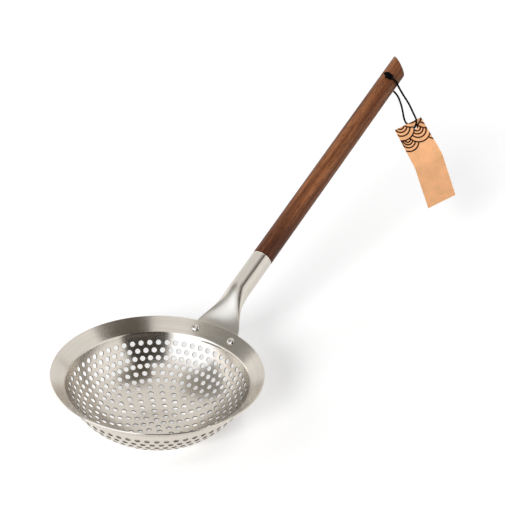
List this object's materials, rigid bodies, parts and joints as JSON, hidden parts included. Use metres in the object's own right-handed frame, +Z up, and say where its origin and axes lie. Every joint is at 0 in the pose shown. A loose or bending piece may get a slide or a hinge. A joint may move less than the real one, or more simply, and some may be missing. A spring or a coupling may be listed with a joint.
{
  "type": "perforated skimmer",
  "caption": "Round perforated steel skimmer bowl with a flared rim, riveted socket, slanted wooden handle, hanging cord and a card tag.",
  "frame": {"origin": "centre of the bowl's flat underside, on the table it stands on", "axes": "+X along the handle in plan, +Z up through the bowl's mouth, +Y to the left of the handle"},
  "size_m": [0.3921, 0.1412, 0.1663],
  "materials": {
    "bowl_steel": "satin",
    "socket_steel": "satin",
    "rivet_steel": "satin",
    "walnut": "oiled",
    "black_cord": "matte",
    "kraft_card": "matte"
  },
  "bodies": {
    "skimmer": {"bowl": "bowl_steel", "socket": "socket_steel", "rivet_left": "rivet_steel", "rivet_right": "rivet_steel", "handle": "walnut", "hang_cord": "black_cord", "cord_knot": "black_cord"},
    "tag": {"tag": "kraft_card"}
  },
  "joints": [
    {"name": "tag_swing", "type": "hinge", "parent": "skimmer", "child": "tag", "pos_m": [0.3089, -0.0197, 0.1139], "axis": [0.6558, 0.4302, -0.6204], "range_deg": [-40, 40]}
  ]
}
